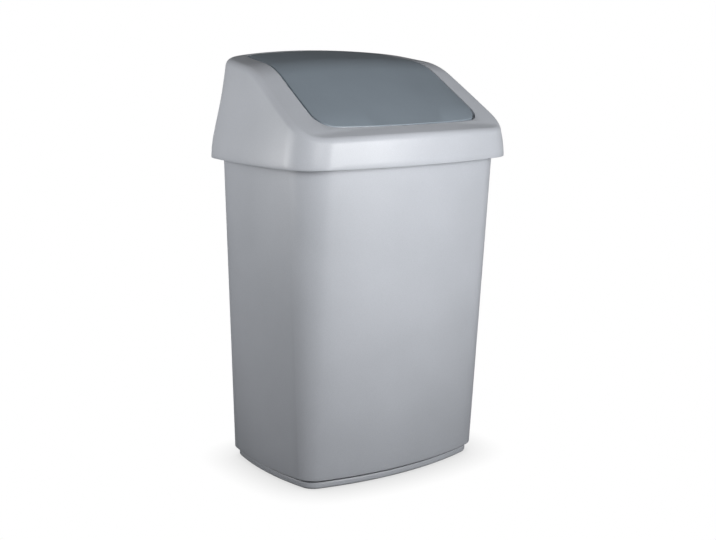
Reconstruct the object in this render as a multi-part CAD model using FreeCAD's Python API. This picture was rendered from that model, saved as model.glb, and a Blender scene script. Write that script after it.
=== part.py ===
import FreeCAD, Part
import math
import os

from FreeCAD import Vector

# Swing-top kitchen bin in three moulded pieces: a tapered bucket, a lift-off hood and a
# pivoted flap. Millimetres and degrees, front towards -Y, standing on Z = 0.

# Whole bin
overall_height = 511.8
hood_width = 330.0
hood_depth = 257.5

# Hood, plan outline at the lower edge of its skirt
hood_front_corner = 51.0
hood_back_corner = 41.0
hood_front_bow = 21.5
hood_side_bow = 10.0
hood_front_height = 35.46
hood_wall = 2.0
hood_side_lean = 13.8
hood_skirt_height = 26.0
hood_front_draft = 2.0
hood_back_draft = 0.4
ridge_round = 10.0

# Flap, plan outline inside the bands of the hood that frame it
front_band = 29.25
back_band = 22.75
side_band_front = 47.5
side_band_back = 63.0
flap_front_y = -hood_depth / 2 + front_band
flap_back_y = hood_depth / 2 - back_band
flap_front_half = hood_width / 2 - side_band_front
flap_back_half = hood_width / 2 - side_band_back
flap_front_bow = 12.0
flap_back_bow = 8.0
flap_side_bow = 3.0
flap_front_corner = 26.0
flap_back_corner = 20.0
flap_wall = 2.0
flap_edge_depth = 9.0
flap_gap = 2.0
corner_gap_extra = 3.0

# Top of the hood and flap, side profile on the centre line
front_band_angle = 18.2
slope_angle = 31.6
top_angle = 6.7
kink_lead = 0.5
top_length = 90.1
kink_y = flap_front_y - kink_lead
bend_y = flap_back_y - top_length
crest_y = flap_back_y
kink_round = 40.0
bend_round = 105.0
crest_round = 400.0
crown_radius = 1350.0

# Flap stiffening ribs
rib_thickness = 1.6
rib_depth = 6.0
long_rib_spacing = 56.0
cross_rib_from_front = 47.5
cross_rib_from_back = 44.0

# Pivot of the flap
pivot_before_bend = 25.9
pivot_below_top = 6.8
pin_radius = 3.0
pin_clearance = 0.06
pin_end_margin = 1.0
pin_shoulder_radius = 4.6
pin_boss_length = 4.0
side_play = 0.9
lug_thickness = 4.0
lug_margin = 4.0

# Hood opening
lip_depth = 12.4
lip_thickness = 2.0
stop_tab_width = 16.0
stop_tab_length = 7.0
stop_tab_thickness = 3.0
stop_tab_x = 55.0
stop_clearance = 0.3

# Bucket, its rim under the hood and its base drawn in by the taper
rim_cover = 23.0
side_overhang = 11.5
front_overhang = 10.15
back_overhang = 8.75
side_taper = 14.75
front_taper = 25.6
back_taper = 0.5
bucket_top_width = hood_width - 2 * side_overhang
bucket_top_front_y = -hood_depth / 2 + front_overhang
bucket_top_back_y = hood_depth / 2 - back_overhang
bucket_top_front_corner = 48.0
bucket_top_back_corner = 46.0
bucket_base_width = bucket_top_width - 2 * side_taper
bucket_base_front_y = bucket_top_front_y + front_taper
bucket_base_back_y = bucket_top_back_y - back_taper
bucket_base_front_corner = 27.0
bucket_base_back_corner = 17.0
bucket_front_bow = 21.0
bucket_side_bow = 10.0
bucket_wall = 2.0
bucket_floor = 2.6
bucket_edge_round = 1.6
bucket_inside_round = 8.0
rim_thickness = 2.0
rim_turn_down = 9.0
rim_clearance = 0.8

# Foot under the bucket
foot_height = 11.8
foot_inset = 5.7
foot_thickness = 6.5
foot_bead_round = 3.5
foot_groove_height = 2.0
foot_groove_depth = 2.6

# Ribs inside the hood that sit on the bucket rim
seat_rib_thickness = 2.0
seat_rib_reach = 4.0
seat_rib_height = 24.0
seat_rib_side_spacing = 62.0
seat_rib_end_x = 74.0

# Measures of the model itself, not of the bin
round_steps = 4
tolerance = 0.01

axis_up = Vector(0, 0, 1)
axis_back = Vector(0, 1, 0)


def rise(length, angle):
    """Height gained along a level length at an angle."""
    return length * math.tan(math.radians(angle))


# Heights of the profile's corners, and the hood and bucket edges that hang below them
bend_z = overall_height - rise(crest_y - bend_y, top_angle)
kink_z = bend_z - rise(bend_y - kink_y, slope_angle)
front_edge_z = kink_z - rise(kink_y + hood_depth / 2, front_band_angle)
hood_bottom = front_edge_z - hood_front_height
bucket_rim_z = hood_bottom + rim_cover

# Straight stretches of the top profile as (y, z, angle), from the front to the back
profile_lines = [
    (kink_y, kink_z, front_band_angle),
    (kink_y, kink_z, slope_angle),
    (bend_y, bend_z, top_angle),
    (crest_y, overall_height, 0.0),
]


def bowed_circle(start, end, bow):
    """Circle through two plan points that bulges by bow to the right of the way start to end."""
    chord = end.sub(start)
    radius = (chord.Length ** 2 / 4 + bow ** 2) / (2 * bow)
    outward = Vector(chord.y, -chord.x, 0).normalize()
    middle = start.add(end).multiply(0.5)
    return middle.add(outward * (bow - radius)), radius


def tangent_centre(centre_a, reach_a, centre_b, reach_b, near):
    """Point at reach_a from one centre and reach_b from the other, on the side of near."""
    between = centre_b.sub(centre_a)
    distance = between.Length
    along = (reach_a ** 2 - reach_b ** 2 + distance ** 2) / (2 * distance)
    across = math.sqrt(reach_a ** 2 - along ** 2)
    unit = Vector(between).normalize()
    side = Vector(-unit.y, unit.x, 0) * across
    foot = centre_a.add(unit * along)
    choices = [foot.add(side), foot.sub(side)]
    return min(choices, key=lambda point: point.distanceToPoint(near))


def outline(plan, z, inset=0.0):
    """Closed wire at height z: four bowed sides joined by corner arcs, drawn in by inset."""
    front_right = Vector(plan["front_half"], plan["front_y"] + plan["front_bow"], 0)
    back_right = Vector(plan["back_half"], plan["back_y"] - plan["back_bow"], 0)
    front_left = Vector(-front_right.x, front_right.y, 0)
    back_left = Vector(-back_right.x, back_right.y, 0)
    corners = [front_right, back_right, back_left, front_left]
    corner_radii = [plan["front_corner"], plan["back_corner"], plan["back_corner"], plan["front_corner"]]
    bows = [plan["side_bow"], plan["back_bow"], plan["side_bow"], plan["front_bow"]]
    sides = [bowed_circle(corners[i], corners[(i + 1) % 4], bows[i]) for i in range(4)]
    sides = [(centre, radius - inset) for centre, radius in sides]
    meets = []
    for i in range(4):
        before = sides[i - 1]
        after = sides[i]
        radius = corner_radii[i] - inset
        centre = tangent_centre(before[0], before[1] - radius, after[0], after[1] - radius, corners[i])
        first = before[0].add(centre.sub(before[0]).normalize() * before[1])
        last = after[0].add(centre.sub(after[0]).normalize() * after[1])
        middle = centre.add(first.add(last).multiply(0.5).sub(centre).normalize() * radius)
        meets.append((first, middle, last))
    edges = []
    for i in range(4):
        first, middle, last = meets[i]
        edges.append(Part.Arc(first, middle, last).toShape())
        centre, radius = sides[i]
        end = meets[(i + 1) % 4][0]
        bulge = centre.add(last.add(end).multiply(0.5).sub(centre).normalize() * radius)
        edges.append(Part.Arc(last, bulge, end).toShape())
    wire = Part.Wire(edges)
    wire.translate(axis_up * z)
    return wire


def prism(plan, bottom, top, inset=0.0):
    """Upright block with the given plan outline."""
    face = Part.Face(outline(plan, bottom, inset))
    return face.extrude(axis_up * (top - bottom))


def tapered(plan_at, bottom, top, inset, bottom_round):
    """Block whose plan outline changes evenly between two heights, with its lower edge rounded."""
    turns = [math.pi / 2 * step / round_steps for step in range(round_steps + 1)]
    heights = [bottom + bottom_round * (1 - math.cos(turn)) for turn in turns] + [top]
    insets = [inset + bottom_round * (1 - math.sin(turn)) for turn in turns] + [inset]
    wires = [outline(plan_at(z), z, draw_in) for z, draw_in in zip(heights, insets)]
    return Part.makeLoft(wires, True, True)


def side_lean_in(height):
    """How far the hood's side has come in at a height above its lower edge: upright, then leaning."""
    lean = math.tan(math.radians(hood_side_lean))
    if height <= 0:
        return 0.0
    if height < hood_skirt_height:
        return lean * height ** 2 / (2 * hood_skirt_height)
    return lean * (height - hood_skirt_height / 2)


def hood_plan(z):
    """Outer outline of the hood at height z, drawn in by its drafts."""
    height = z - hood_bottom
    half = hood_width / 2 - hood_side_bow - side_lean_in(height)
    return {
        "front_half": half,
        "back_half": half,
        "front_y": -hood_depth / 2 + height * math.tan(math.radians(hood_front_draft)),
        "back_y": hood_depth / 2 - height * math.tan(math.radians(hood_back_draft)),
        "front_bow": hood_front_bow,
        "back_bow": hood_front_bow,
        "side_bow": hood_side_bow,
        "front_corner": hood_front_corner,
        "back_corner": hood_back_corner,
    }


def bucket_plan(z):
    """Outer outline of the bucket wall at height z, between its base and its rim."""
    share = (z - foot_height) / (bucket_rim_z - foot_height)

    def between(base, rim):
        return base + (rim - base) * share

    half = between(bucket_base_width, bucket_top_width) / 2 - bucket_side_bow
    return {
        "front_half": half,
        "back_half": half,
        "front_y": between(bucket_base_front_y, bucket_top_front_y),
        "back_y": between(bucket_base_back_y, bucket_top_back_y),
        "front_bow": bucket_front_bow,
        "back_bow": bucket_front_bow,
        "side_bow": bucket_side_bow,
        "front_corner": between(bucket_base_front_corner, bucket_top_front_corner),
        "back_corner": between(bucket_base_back_corner, bucket_top_back_corner),
    }


flap_plan = {
    "front_half": flap_front_half,
    "back_half": flap_back_half,
    "front_y": flap_front_y,
    "back_y": flap_back_y,
    "front_bow": flap_front_bow,
    "back_bow": flap_back_bow,
    "side_bow": flap_side_bow,
    "front_corner": flap_front_corner,
    "back_corner": flap_back_corner,
}

# The opening runs flap_gap outside the flap, with tighter corners that leave a wider gap there
opening_plan = dict(flap_plan)
opening_plan["front_corner"] = flap_front_corner - corner_gap_extra
opening_plan["back_corner"] = flap_back_corner - corner_gap_extra


def lowered(line, drop):
    """A profile line moved square to itself, down into the material."""
    y, z, angle = line
    turn = math.radians(angle)
    return y + drop * math.sin(turn), z - drop * math.cos(turn), angle


def crossing(line_a, line_b):
    """Point where two profile lines meet."""
    slope_a = math.tan(math.radians(line_a[2]))
    slope_b = math.tan(math.radians(line_b[2]))
    y = (line_b[1] - line_a[1] + slope_a * line_a[0] - slope_b * line_b[0]) / (slope_a - slope_b)
    return y, line_a[1] + slope_a * (y - line_a[0])


def profile_point(y, z):
    return Vector(0, y, z)


def top_profile(drop):
    """Edges of the top profile lowered by drop, from front to back, past the hood at both ends."""
    lines = [lowered(line, drop) for line in profile_lines]
    rounds = [kink_round + drop, bend_round - drop, crest_round - drop]
    reach = hood_depth
    start_y = lines[0][0] - reach
    cursor = profile_point(start_y, lines[0][1] - rise(reach, lines[0][2]))
    edges = []
    for i, radius in enumerate(rounds):
        y, z = crossing(lines[i], lines[i + 1])
        before = math.radians(lines[i][2])
        after = math.radians(lines[i + 1][2])
        tangent = radius * math.tan(abs(after - before) / 2)
        enter = profile_point(y - tangent * math.cos(before), z - tangent * math.sin(before))
        leave = profile_point(y + tangent * math.cos(after), z + tangent * math.sin(after))
        side = 1 if after > before else -1
        centre = enter.add(profile_point(-math.sin(before), math.cos(before)) * (side * radius))
        halfway = enter.add(leave).multiply(0.5).sub(centre).normalize()
        edges.append(Part.makeLine(cursor, enter))
        edges.append(Part.Arc(enter, centre.add(halfway * radius), leave).toShape())
        cursor = leave
    edges.append(Part.makeLine(cursor, profile_point(crest_y + reach, cursor.z)))
    return edges


crown_axis_z = overall_height - crown_radius


def under_top(drop=0.0):
    """Everything below the crowned top surface lowered by drop: the profile swung about a low axis."""
    edges = top_profile(drop)
    first = edges[0].Vertexes[0].Point
    last = edges[-1].Vertexes[-1].Point
    floor_z = min(first.z, hood_bottom) - hood_wall
    corner_back = profile_point(last.y, floor_z)
    corner_front = profile_point(first.y, floor_z)
    edges.append(Part.makeLine(last, corner_back))
    edges.append(Part.makeLine(corner_back, corner_front))
    edges.append(Part.makeLine(corner_front, first))
    face = Part.Face(Part.Wire(edges))
    swing = math.degrees(math.asin(hood_width / (floor_z - crown_axis_z)))
    axis_point = Vector(0, 0, crown_axis_z)
    face.rotate(axis_point, axis_back, -swing)
    return face.revolve(axis_point, axis_back, 2 * swing)


def profile_height(y, drop=0.0):
    """Height of the top surface on the centre line."""
    wire = Part.Wire(top_profile(drop))
    post = Part.makeLine(profile_point(y, 0), profile_point(y, overall_height * 2))
    return wire.distToShape(post)[1][0][0].z


def surface_height(x, y, drop=0.0):
    """Height of the crowned top surface anywhere."""
    radius = profile_height(y, drop) - crown_axis_z
    return crown_axis_z + math.sqrt(radius ** 2 - x ** 2)


def side_x(plan, y, inset=0.0):
    """Half width of an outline at a given y, on its right side."""
    post = Part.makeLine(Vector(0, y, 0), Vector(hood_width, y, 0))
    return outline(plan, 0, inset).distToShape(post)[1][0][0].x


def end_y(plan, x, end, inset=0.0):
    """Place of an outline's front (end -1) or back (end 1) edge at a given x."""
    post = Part.makeLine(Vector(x, 0, 0), Vector(x, end * hood_depth, 0))
    return outline(plan, 0, inset).distToShape(post)[1][0][0].y


# Pivot of the flap, shared by the pins and the lugs that hold them
pivot_y = bend_y - pivot_before_bend
flap_half_at_pivot = side_x(flap_plan, pivot_y)
opening_half_at_pivot = side_x(opening_plan, pivot_y, -flap_gap)
pivot_z = surface_height(flap_half_at_pivot, pivot_y) - pivot_below_top
lug_inner_x = opening_half_at_pivot
lug_outer_x = lug_inner_x + lug_thickness


def pivot_cylinder(radius, side, x_from, x_to):
    """Cylinder on the pivot axis between two distances from the middle, on one side."""
    start = Vector(side * x_from, pivot_y, pivot_z)
    return Part.makeCylinder(radius, x_to - x_from, start, Vector(side, 0, 0))


def hood_body(drop, rounding):
    """Closed form of the hood drawn in by drop, with its ridge rounded."""
    skirt_top = hood_bottom + hood_skirt_height
    ceiling = overall_height + hood_skirt_height
    heights = [hood_bottom - drop, hood_bottom + hood_skirt_height / 2, skirt_top]
    heights += [(skirt_top + ceiling) / 2, ceiling]
    walls = Part.makeLoft([outline(hood_plan(z), z, drop) for z in heights], True, False)
    top = under_top(drop)
    form = walls.common(top)
    ridge = []
    for edge in form.Edges:
        middle = edge.valueAt(sum(edge.ParameterRange) / 2)
        if on_skin(walls, middle) and on_skin(top, middle):
            ridge.append(edge)
    return form.makeFillet(rounding, ridge)


def on_skin(shape, point):
    """Whether a point lies on the surface of a solid."""
    return shape.isInside(point, tolerance, True) and not shape.isInside(point, tolerance, False)


def hood():
    """Lift-off hood: one moulded shell with the flap's opening, lip, lugs, stops and seat ribs."""
    ceiling = overall_height + hood_wall
    outer = hood_body(0.0, ridge_round)
    inner = hood_body(hood_wall, ridge_round - hood_wall)
    within_wall = hood_body(hood_wall / 2, ridge_round - hood_wall / 2)

    # The cavity stops short of a ring round the opening, which leaves a turned-down lip there
    lip_block = prism(opening_plan, hood_bottom, ceiling, -flap_gap - lip_thickness)
    cavity = inner.cut(lip_block.cut(under_top(lip_depth)))
    opening = prism(opening_plan, hood_bottom - hood_wall, ceiling, -flap_gap)
    shell = outer.cut(cavity).cut(opening)

    additions = seat_ribs() + [lug(side) for side in (-1, 1)] + stop_tabs()
    shell = shell.fuse([piece.common(within_wall) for piece in additions])
    for side in (-1, 1):
        bore_end = lug_outer_x + pin_end_margin + side_play
        shell = shell.cut(pivot_cylinder(pin_radius + pin_clearance, side, 0, bore_end))
    return shell.removeSplitter()


def lug(side):
    """Plate beside the opening that carries one pin, open to the top until it is trimmed."""
    half = pin_radius + pin_clearance + lug_margin
    plate = Part.makeBox(lug_thickness, 2 * half, overall_height - pivot_z)
    near_x = lug_inner_x if side > 0 else -lug_outer_x
    plate.translate(Vector(near_x, pivot_y - half, pivot_z))
    return plate.fuse(pivot_cylinder(half, side, lug_inner_x, lug_outer_x))


def stop_tabs():
    """Two tabs on the rear lip that the tail of the flap rests on."""
    top_drop = flap_edge_depth + stop_clearance
    layer = under_top(top_drop).cut(under_top(top_drop + stop_tab_thickness))
    tabs = []
    for side in (-1, 1):
        back_y = end_y(opening_plan, stop_tab_x, 1, -flap_gap)
        box = Part.makeBox(stop_tab_width, stop_tab_length + lip_thickness, overall_height)
        box.translate(Vector(side * stop_tab_x - stop_tab_width / 2, back_y - stop_tab_length, 0))
        tabs.append(box.common(layer))
    return tabs


def seat_ribs():
    """Upright ribs inside the skirt whose lower ends stand on the bucket rim."""
    rim_plan = bucket_plan(bucket_rim_z)
    skirt_plan = hood_plan(bucket_rim_z)
    ribs = []
    for y in (-seat_rib_side_spacing, 0, seat_rib_side_spacing):
        near = side_x(rim_plan, y) - seat_rib_reach
        far = side_x(skirt_plan, y)
        rib = Part.makeBox(far - near, seat_rib_thickness, seat_rib_height)
        rib.translate(Vector(near, y - seat_rib_thickness / 2, bucket_rim_z))
        ribs += [rib, rib.mirror(Vector(), Vector(1, 0, 0))]
    for end in (-1, 1):
        for x in (-seat_rib_end_x, seat_rib_end_x):
            near = end_y(rim_plan, x, end) - end * seat_rib_reach
            far = end_y(skirt_plan, x, end)
            rib = Part.makeBox(seat_rib_thickness, abs(far - near), seat_rib_height)
            rib.translate(Vector(x - seat_rib_thickness / 2, min(near, far), bucket_rim_z))
            ribs.append(rib)
    return ribs


def flap():
    """Swing flap: a crowned plate with turned-down edges, ribs underneath and a pin on each side."""
    ceiling = overall_height + flap_wall
    block = prism(flap_plan, hood_bottom, ceiling).common(under_top())
    plate = block.cut(under_top(flap_edge_depth))
    hollow = prism(flap_plan, hood_bottom, ceiling, flap_wall).common(under_top(flap_wall))
    plate = plate.cut(hollow)

    inside_wall = prism(flap_plan, hood_bottom, ceiling, flap_wall / 2)
    rib_layer = inside_wall.common(under_top(flap_wall / 2)).cut(under_top(flap_wall + rib_depth))
    ribs = [rib_sheet(x, True) for x in (-long_rib_spacing, 0, long_rib_spacing)]
    cross_places = (flap_front_y + cross_rib_from_front, flap_back_y - cross_rib_from_back)
    ribs += [rib_sheet(y, False) for y in cross_places]
    pieces = [sheet.common(rib_layer) for sheet in ribs]
    for side in (-1, 1):
        root = flap_half_at_pivot - flap_wall - pin_boss_length
        pieces.append(pivot_cylinder(pin_shoulder_radius, side, root, lug_inner_x - side_play))
        pieces.append(pivot_cylinder(pin_radius, side, root, lug_outer_x + pin_end_margin))
    return plate.fuse(pieces).removeSplitter()


def rib_sheet(place, lengthways):
    """Upright sheet through the flap at x = place, or at y = place for a cross rib."""
    long = hood_depth * 2
    if lengthways:
        sheet = Part.makeBox(rib_thickness, long, overall_height)
        sheet.translate(Vector(place - rib_thickness / 2, -long / 2, 0))
    else:
        sheet = Part.makeBox(hood_width * 2, rib_thickness, overall_height)
        sheet.translate(Vector(-hood_width, place - rib_thickness / 2, 0))
    return sheet


def bucket():
    """Tapered bucket with a turned-down rim, a flat floor and a beaded foot ring."""
    body = tapered(bucket_plan, foot_height, bucket_rim_z, 0.0, bucket_edge_round)
    floor_z = foot_height + bucket_floor
    cavity = tapered(bucket_plan, floor_z, bucket_rim_z + bucket_wall, bucket_wall, bucket_inside_round)

    rim_plan = hood_plan(bucket_rim_z)
    rim_inset = hood_wall + rim_clearance
    flange = prism(rim_plan, bucket_rim_z - rim_thickness, bucket_rim_z, rim_inset)
    skirt = prism(rim_plan, bucket_rim_z - rim_turn_down, bucket_rim_z, rim_inset)
    skirt = skirt.cut(prism(rim_plan, 0, overall_height, rim_inset + rim_thickness))
    return body.fuse([flange, skirt, foot()]).cut(cavity).removeSplitter()


def foot():
    """Ring that the bucket stands on: a rounded bead below a narrower groove."""
    base_plan = bucket_plan(foot_height)
    bead_top = foot_height - foot_groove_height
    bead = prism(base_plan, 0, bead_top, foot_inset)
    bead = bead.makeFillet(foot_bead_round, level_edges(bead, 0) + level_edges(bead, bead_top))
    neck_top = foot_height + bucket_floor / 2
    neck = prism(base_plan, bead_top - foot_bead_round, neck_top, foot_inset + foot_groove_depth)
    hollow = prism(base_plan, -foot_height, foot_height, foot_inset + foot_thickness)
    return bead.fuse(neck).cut(hollow)


def level_edges(shape, z):
    """Edges of shape that lie flat at height z."""
    return [edge for edge in shape.Edges
            if max(abs(edge.BoundBox.ZMin - z), abs(edge.BoundBox.ZMax - z)) < tolerance]


os.makedirs("parts", exist_ok=True)
for name, make in (("bucket", bucket), ("hood", hood), ("swing_flap", flap)):
    shape = make()
    if len(shape.Solids) != 1 or not shape.isValid():
        raise RuntimeError(name + " is not one sound solid")
    shape.Solids[0].exportStep("parts/" + name + ".step")
    centre = shape.Solids[0].CenterOfMass
    print(name, round(shape.Volume / 1000, 1), "cm3, centre of mass", [round(v, 1) for v in centre])
print("pivot", round(pivot_y, 2), round(pivot_z, 2))
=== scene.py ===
import math

import bmesh
import bpy
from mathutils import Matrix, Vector


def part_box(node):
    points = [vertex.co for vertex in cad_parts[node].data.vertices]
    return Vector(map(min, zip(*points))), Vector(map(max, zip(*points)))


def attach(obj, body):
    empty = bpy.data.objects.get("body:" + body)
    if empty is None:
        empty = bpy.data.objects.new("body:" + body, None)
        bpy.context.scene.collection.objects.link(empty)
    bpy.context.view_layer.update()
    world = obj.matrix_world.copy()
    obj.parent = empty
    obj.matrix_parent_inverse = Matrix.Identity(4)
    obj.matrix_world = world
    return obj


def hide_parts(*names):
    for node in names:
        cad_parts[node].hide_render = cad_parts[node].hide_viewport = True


# Swing-top kitchen bin: three satin plastic mouldings in a plain studio. Metres, front towards -Y.
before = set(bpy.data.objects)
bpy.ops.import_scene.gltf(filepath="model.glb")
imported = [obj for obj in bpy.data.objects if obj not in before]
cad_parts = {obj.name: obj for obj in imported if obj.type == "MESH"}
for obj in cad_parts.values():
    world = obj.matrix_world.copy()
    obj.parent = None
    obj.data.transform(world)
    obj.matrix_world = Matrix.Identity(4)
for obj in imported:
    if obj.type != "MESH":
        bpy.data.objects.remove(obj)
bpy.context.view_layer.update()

# Photograph's frame in pixels, and the camera that was fitted to it
image_width = 716
focal_pixels = 1256.93
centre_offset_right = -1.46
centre_offset_down = 10.99
camera_place = Vector((-0.91535, -1.24451, 0.54011))
camera_target = Vector((0, 0, 0.256))
sensor_width = 36.0

# Studio lamps: square softboxes with a grid, each by its azimuth in degrees, power, height,
# aim height, and whether the plastic mirrors it. Those in front face the hood. Those behind stand
# low, light only the back and the right side, and aren't mirrored, so that the rims stay dark.
lamp_distance = 1.25
lamp_side = 0.65
lamp_spread = math.radians(76)
lamps = {
    "key_softbox": (12, 3.15, 0.54, 0.47, True),
    "camera_softbox": (-30, 1.3, 0.78, 0.56, True),
    "left_softbox": (-114, 2.05, 0.56, 0.51, True),
    "back_softbox": (165, 1.6, 0.3, 0.36, False),
    "right_softbox": (120, 1.3, 0.3, 0.36, False),
}
room_light = 0.07

# Heights, as the sine of the angle above the horizon, between which the backdrop gives way to the
# ceiling, and how much of the backdrop's white shows in reflections
backdrop_foot = 0.05
backdrop_top = 0.2
backdrop_gloss = 0.2
white = (1.0, 1.0, 1.0, 1.0)

# Floor, and the soft shadow where the bin stands
floor_size = 8.0
floor_paint = (0.1, 0.1, 0.105, 1.0)
shadow_reach = 0.05
shadow_depth = 0.6

# Edges of the mouldings: how triangles are joined, and which edges are broken to which radius
merge_distance = 2e-6
quad_bend = math.radians(12)
quad_skew = math.radians(50)
edge_round = 0.0006
flap_edge_round = 0.0008
edge_steps = 2
edge_profile = 0.5
edge_angle = math.radians(40)
shading_angle = math.radians(32)
smallest_edge = 0.0004
upward = 0.5
hood_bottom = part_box("hood")[0].z
bucket_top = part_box("bucket")[1].z

# Line of the flap's pins, as depth and height, and the room round it where no edge is broken
pin_line = Vector((-0.01, 0.47357))
pin_room = 0.009

# Foot: the bead's rounding, the height where its upper half starts, and the rows it is drawn in
bead_round = 0.0035
bead_middle = 0.0063
bead_rows = 9
bead_slack = 0.00002

# Plastic colours, linear, each as its lighter and darker drift
silver_tones = ((0.48, 0.50, 0.54, 1.0), (0.435, 0.455, 0.491, 1.0))
slate_tones = ((0.225, 0.265, 0.305, 1.0), (0.195, 0.23, 0.265, 1.0))
tone_scale = 6.0
tone_range = (0.35, 0.65)
fleck_scale = 1500.0
fleck_depth = 0.05
noise_range = (0.3, 0.7)

# Scuffs that are rubbed in near the floor, in level streaks
scuff_silver = (0.56, 0.57, 0.585, 1.0)
scuff_slate = (0.27, 0.3, 0.33, 1.0)
scuff_stretch = (90.0, 90.0, 420.0)
scuff_roughness = 0.7
scuff_range = (0.56, 0.7)
scuff_share = 0.5
scuff_dulling = 0.2
scuff_height = 0.05
no_scuffs = 0.0

# Painted shade: a dark colour laid in the groove above the foot's bead and along the turn of its
# underside, where shadow falls
groove_shade_colour = (0.07, 0.07, 0.08, 1.0)
groove_low = 0.008
groove_full = 0.0088
groove_top = 0.0117
groove_shade_strength = 0.9
base_full = 0.0008
base_high = 0.002
base_shade_strength = 0.8

# Gloss, with the marks of wiping, and the moulded surface: fine grain on a slow swell
bucket_roughness = 0.38
lid_roughness = 0.36
wipe_stretch = (14.0, 14.0, 3.0)
wipe_dulling = 0.04
grain_scale = 1100.0
grain_strength = 0.16
grain_depth = 0.0002
swell_scale = 45.0
swell_strength = 0.12
swell_depth = 0.0008
plastic_ior = 1.49


def link_to_scene(thing):
    bpy.context.scene.collection.objects.link(thing)
    return thing


def aim(thing, place, target):
    """Puts a camera or lamp at place, looking at target."""
    thing.location = place
    thing.rotation_mode = "QUATERNION"
    thing.rotation_quaternion = (target - place).to_track_quat("-Z", "Y")


def add_camera():
    """Camera at the photograph's viewing point."""
    data = bpy.data.cameras.new("photo_camera")
    data.sensor_width = sensor_width
    data.lens = focal_pixels / image_width * sensor_width
    data.shift_x = centre_offset_right / image_width
    data.shift_y = -centre_offset_down / image_width
    camera = link_to_scene(bpy.data.objects.new("photo_camera", data))
    aim(camera, camera_place, camera_target)
    bpy.context.scene.camera = camera


def add_softbox(name, azimuth, power, height, aim_height, mirrored):
    """Square lamp round the bin at an azimuth in degrees, 0 in front and positive to the right."""
    data = bpy.data.lights.new(name, "AREA")
    data.shape = "SQUARE"
    data.size = lamp_side
    data.spread = lamp_spread
    data.energy = power
    turn = math.radians(azimuth)
    place = Vector((math.sin(turn) * lamp_distance, -math.cos(turn) * lamp_distance, height))
    softbox = link_to_scene(bpy.data.objects.new(name, data))
    softbox.visible_glossy = mirrored
    aim(softbox, place, Vector((0, 0, aim_height)))


class NodeTree:
    """Short way to add nodes to a material or world and join them."""

    def __init__(self, owner):
        owner.use_nodes = True
        self.tree = owner.node_tree
        self.tree.nodes.clear()

    def feed(self, socket, value):
        """Links a socket to another node's output, or sets it to a plain value."""
        if isinstance(value, bpy.types.NodeSocket):
            self.tree.links.new(value, socket)
        else:
            socket.default_value = value

    def add(self, kind, settings=None, **inputs):
        """Adds a node, with its inputs by name and an underscore for each space."""
        node = self.tree.nodes.new("ShaderNode" + kind)
        for key, value in (settings or {}).items():
            setattr(node, key, value)
        for key, value in inputs.items():
            name = key.replace("_", " ").lower()
            usable = [socket for socket in node.inputs if socket.enabled and socket.name.lower() == name]
            self.feed(usable[0], value)
        return node

    def in_order(self, kind, settings, *values):
        """Adds a node whose inputs are given in order, and returns its first output."""
        node = self.add(kind, settings)
        for socket, value in zip(node.inputs, values):
            self.feed(socket, value)
        return node.outputs[0]

    def maths(self, operation, first, second):
        return self.in_order("Math", {"operation": operation}, first, second)

    def shader_mix(self, share, first, second):
        return self.in_order("MixShader", {}, share, first, second)

    def noise(self, place, scale, detail, **inputs):
        return self.add("TexNoise", Vector=place, Scale=scale, Detail=detail, **inputs).outputs["Fac"]

    def stretched(self, place, stretch):
        return self.add("Mapping", Vector=place, Scale=stretch).outputs["Vector"]

    def ramp(self, value, start, end, low=0.0, high=1.0):
        """Goes from low to high as value goes from start to end."""
        node = self.add("MapRange", Value=value, From_Min=start, From_Max=end, To_Min=low, To_Max=high)
        return node.outputs["Result"]

    def blend(self, share, first, second):
        """Mixes two colours."""
        return self.add("Mix", {"data_type": "RGBA"}, Factor=share, A=first, B=second).outputs[2]

    def height(self, place):
        return self.add("SeparateXYZ", Vector=place).outputs["Z"]


def add_surroundings():
    """White to the eye, a white backdrop under a dark ceiling to reflections, a dim room to the bin."""
    world = bpy.data.worlds.new("studio")
    bpy.context.scene.world = world
    tree = NodeTree(world)
    path = tree.add("LightPath").outputs
    rise = tree.height(tree.add("TexCoord").outputs["Generated"])
    low = tree.ramp(rise, backdrop_top, backdrop_foot, high=backdrop_gloss)
    mirrored = tree.maths("MULTIPLY", path["Is Glossy Ray"], low)
    seen = tree.maths("MAXIMUM", path["Is Camera Ray"], path["Is Transmission Ray"])
    light = tree.add("Background", Color=white, Strength=room_light).outputs[0]
    backdrop = tree.add("Background", Color=white, Strength=1.0).outputs[0]
    mix = tree.shader_mix(tree.maths("MAXIMUM", seen, mirrored), light, backdrop)
    tree.add("OutputWorld", Surface=mix)


def add_floor():
    """Plain floor that the camera sees as white, darkened where the bin's shadow falls."""
    bpy.ops.mesh.primitive_plane_add(size=floor_size)
    floor = bpy.context.object
    floor.name = "floor"
    material = bpy.data.materials.new("pale_floor")
    tree = NodeTree(material)
    open_sky = tree.add("AmbientOcclusion", Distance=shadow_reach).outputs["AO"]
    shade = tree.ramp(open_sky, 0.0, 1.0, low=shadow_depth)
    paint = tree.add("BsdfDiffuse", Color=floor_paint).outputs[0]
    glow = tree.add("Emission", Color=white, Strength=shade).outputs[0]
    seen = tree.add("LightPath").outputs["Is Camera Ray"]
    tree.add("OutputMaterial", Surface=tree.shader_mix(seen, paint, glow))
    floor.data.materials.append(material)


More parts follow.
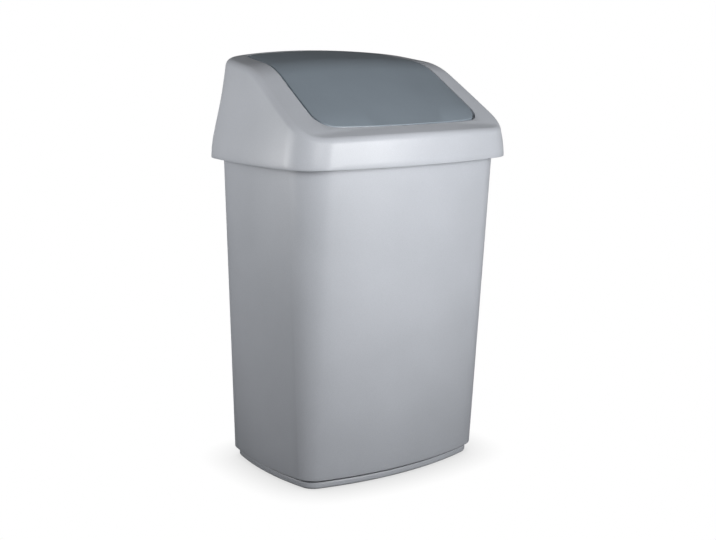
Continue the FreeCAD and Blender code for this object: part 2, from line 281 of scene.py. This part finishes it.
def satin_plastic(name, tones, scuff_colour, roughness, scuff_top):
    """Moulded plastic: slow drift of tone, fine grain, scuffs near the floor, painted shade in the groove
    and under the foot's bead.
    """
    material = bpy.data.materials.new(name)
    tree = NodeTree(material)
    place = tree.add("TexCoord").outputs["Object"]
    height = tree.height(place)

    tone_share = tree.ramp(tree.noise(place, tone_scale, 3.0), *tone_range)
    tone = tree.blend(tone_share, *tones)
    flecks = tree.noise(place, fleck_scale, 1.0)
    fleck_share = tree.ramp(flecks, *noise_range, low=1 - fleck_depth, high=1 + fleck_depth)
    flecked = tree.add("VectorMath", {"operation": "SCALE"}, Vector=tone, Scale=fleck_share).outputs[0]

    near_floor = tree.ramp(height, scuff_top, 0.0)
    rubs = tree.noise(tree.stretched(place, scuff_stretch), 1.0, 4.0, Roughness=scuff_roughness)
    scuffs = tree.maths("MULTIPLY", tree.ramp(rubs, *scuff_range, high=scuff_share), near_floor)
    rubbed = tree.blend(scuffs, flecked, scuff_colour)

    # Painted shade: darkens the groove above the foot's bead and the turn of its underside, where shadow
    # falls
    above_bead = tree.ramp(height, groove_low, groove_full, high=groove_shade_strength)
    in_groove = tree.maths("MULTIPLY", above_bead, tree.maths("LESS_THAN", height, groove_top))
    under_bead = tree.ramp(height, base_high, base_full, high=base_shade_strength)
    colour = tree.blend(tree.maths("MAXIMUM", in_groove, under_bead), rubbed, groove_shade_colour)

    wipes = tree.noise(tree.stretched(place, wipe_stretch), 1.0, 4.0)
    gloss = tree.ramp(wipes, *noise_range, low=roughness - wipe_dulling, high=roughness + wipe_dulling)
    worn = tree.maths("ADD", gloss, tree.maths("MULTIPLY", scuffs, scuff_dulling))

    swell = tree.noise(place, swell_scale, 1.0)
    waved = tree.add("Bump", Strength=swell_strength, Distance=swell_depth, Height=swell).outputs["Normal"]
    grain = tree.noise(place, grain_scale, 2.0)
    bumped = tree.add("Bump", Strength=grain_strength, Distance=grain_depth, Height=grain,
                      Normal=waved).outputs["Normal"]
    shader = tree.add("BsdfPrincipled", Base_Color=colour, Roughness=worn, Normal=bumped,
                      IOR=plastic_ior)
    tree.add("OutputMaterial", Surface=shader.outputs[0])
    return material


def boundary(form, low, high):
    """Open edges of a form between two heights."""
    return [edge for edge in form.edges
            if len(edge.link_faces) == 1 and all(low <= vert.co.z <= high for vert in edge.verts)]


def ends(edges):
    """Points at the ends of some edges."""
    return {vert for edge in edges for vert in edge.verts}


def plan_angle(vert):
    return math.atan2(vert.co.y, vert.co.x)


def ring(edges):
    """Points of a closed row of edges, in order round the bin."""
    neighbours = {}
    for edge in edges:
        for vert in edge.verts:
            neighbours.setdefault(vert, []).append(edge.other_vert(vert))
    order = [min(neighbours, key=plan_angle)]
    following = min(neighbours[order[0]], key=plan_angle)
    while following is not order[0]:
        order.append(following)
        following = next(vert for vert in neighbours[following] if vert is not order[-2])
    return order


def zip_rings(form, lower, upper):
    """Fills the strip between two rings of points with triangles, in order round the bin."""
    lower_angles = [plan_angle(vert) for vert in lower[1:]] + [math.pi]
    upper_angles = [plan_angle(vert) for vert in upper[1:]] + [math.pi]
    lower_at = 0
    upper_at = 0
    while lower_at < len(lower) or upper_at < len(upper):
        corners = [lower[lower_at % len(lower)], upper[upper_at % len(upper)]]
        lower_left = lower_at < len(lower)
        upper_left = upper_at < len(upper)
        if lower_left and not (upper_left and upper_angles[upper_at] < lower_angles[lower_at]):
            lower_at += 1
            corners.append(lower[lower_at % len(lower)])
        else:
            upper_at += 1
            corners.append(upper[upper_at % len(upper)])
        form.faces.new(corners)


def even_bead(form):
    """Draws the upper rounding of the foot's bead in even rows, where the CAD faces are slivers."""
    top = bead_middle + bead_round
    sliver_faces = [face for face in form.faces
                    if all(bead_middle - bead_slack <= vert.co.z <= top for vert in face.verts)
                    and face.calc_center_median().xy.dot(face.normal.xy) + face.normal.z > 0]
    bmesh.ops.delete(form, geom=sliver_faces, context="FACES")
    row = boundary(form, bead_middle - bead_slack, bead_middle + bead_slack)
    neck = boundary(form, bead_middle + bead_slack, top)
    neck_height = sum(edge.verts[0].co.z for edge in neck) / len(neck)
    full_turn = math.asin((neck_height - bead_middle) / bead_round)
    roots = {}
    for vert in ends(row):
        outward = sum((face.normal for face in vert.link_faces), Vector()).normalized()
        roots[vert] = (vert.co.copy(), outward)
    for step in range(1, bead_rows):
        turn = full_turn * step / bead_rows
        drawn = bmesh.ops.extrude_edge_only(form, edges=row)["geom"]
        row = [part for part in drawn
               if isinstance(part, bmesh.types.BMEdge) and len(part.link_faces) == 1]
        row_roots = {}
        for vert in ends(row):
            others = [edge.other_vert(vert) for edge in vert.link_edges]
            below = next(other for other in others if other in roots)
            row_roots[vert] = roots[below]
            place, outward = roots[below]
            inset = outward * bead_round * (1 - math.cos(turn))
            vert.co = place - inset + Vector((0, 0, bead_round * math.sin(turn)))
        roots = row_roots
    zip_rings(form, ring(row), ring(neck))
    bmesh.ops.recalc_face_normals(form, faces=form.faces)


def moulding(node, body, material, radius, rounded):
    """One moulded piece: the CAD node's form, with the edges that rounded picks broken to a radius."""
    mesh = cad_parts[node].data.copy()
    mesh.name = node + "_moulding"
    form = bmesh.new()
    form.from_mesh(mesh)
    bmesh.ops.remove_doubles(form, verts=form.verts, dist=merge_distance)
    bmesh.ops.join_triangles(form, faces=form.faces, angle_face_threshold=quad_bend,
                             angle_shape_threshold=quad_skew)
    if node == "bucket":
        even_bead(form)
    sharp = [edge for edge in form.edges
             if edge.calc_face_angle() > edge_angle and edge.calc_length() > smallest_edge]
    picked = [edge for edge in sharp if rounded(edge)]
    bmesh.ops.bevel(form, geom=picked, offset=radius, segments=edge_steps, profile=edge_profile,
                    affect="EDGES", clamp_overlap=False, loop_slide=True)
    for edge in form.edges:
        edge.smooth = len(edge.link_faces) == 2 and edge.calc_face_angle() < shading_angle
    for face in form.faces:
        face.smooth = True
    form.to_mesh(mesh)
    form.free()
    if "custom_normal" in mesh.attributes:
        mesh.attributes.remove(mesh.attributes["custom_normal"])
    mesh.materials.clear()
    mesh.materials.append(material)
    piece = link_to_scene(bpy.data.objects.new(node + "_moulding", mesh))
    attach(piece, body)
    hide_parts(node)


def near_pins(edge):
    """Edge of a pivot pin, its bore or its lug, which stays sharp so that the pin turns freely."""
    return any((vert.co.yz - pin_line).length < pin_room for vert in edge.verts)


def faces_up(edge):
    """Edge between a surface that faces up and a wall."""
    return max(face.normal.z for face in edge.link_faces) > upward and not near_pins(edge)


def at_rim(edge):
    """Edge round the top of the bucket."""
    return faces_up(edge) and min(vert.co.z for vert in edge.verts) > bucket_top - smallest_edge


def on_hood(edge):
    """Edge on top of the hood or along the foot of its skirt."""
    return faces_up(edge) or max(vert.co.z for vert in edge.verts) < hood_bottom + smallest_edge


def add_mouldings():
    """The bucket, the hood and the flap, each in its own plastic."""
    bucket_plastic = satin_plastic("silver_bucket", silver_tones, scuff_silver, bucket_roughness,
                                   scuff_height)
    hood_plastic = satin_plastic("silver_hood", silver_tones, scuff_silver, lid_roughness, no_scuffs)
    flap_plastic = satin_plastic("slate_flap", slate_tones, scuff_slate, lid_roughness, no_scuffs)
    moulding("bucket", "bucket", bucket_plastic, edge_round, at_rim)
    moulding("hood", "hood", hood_plastic, edge_round, on_hood)
    moulding("swing_flap", "flap", flap_plastic, flap_edge_round, faces_up)


add_camera()
add_surroundings()
add_floor()
for lamp_name, lamp_settings in lamps.items():
    add_softbox(lamp_name, *lamp_settings)
add_mouldings()

bpy.context.scene.view_settings.view_transform = "Standard"
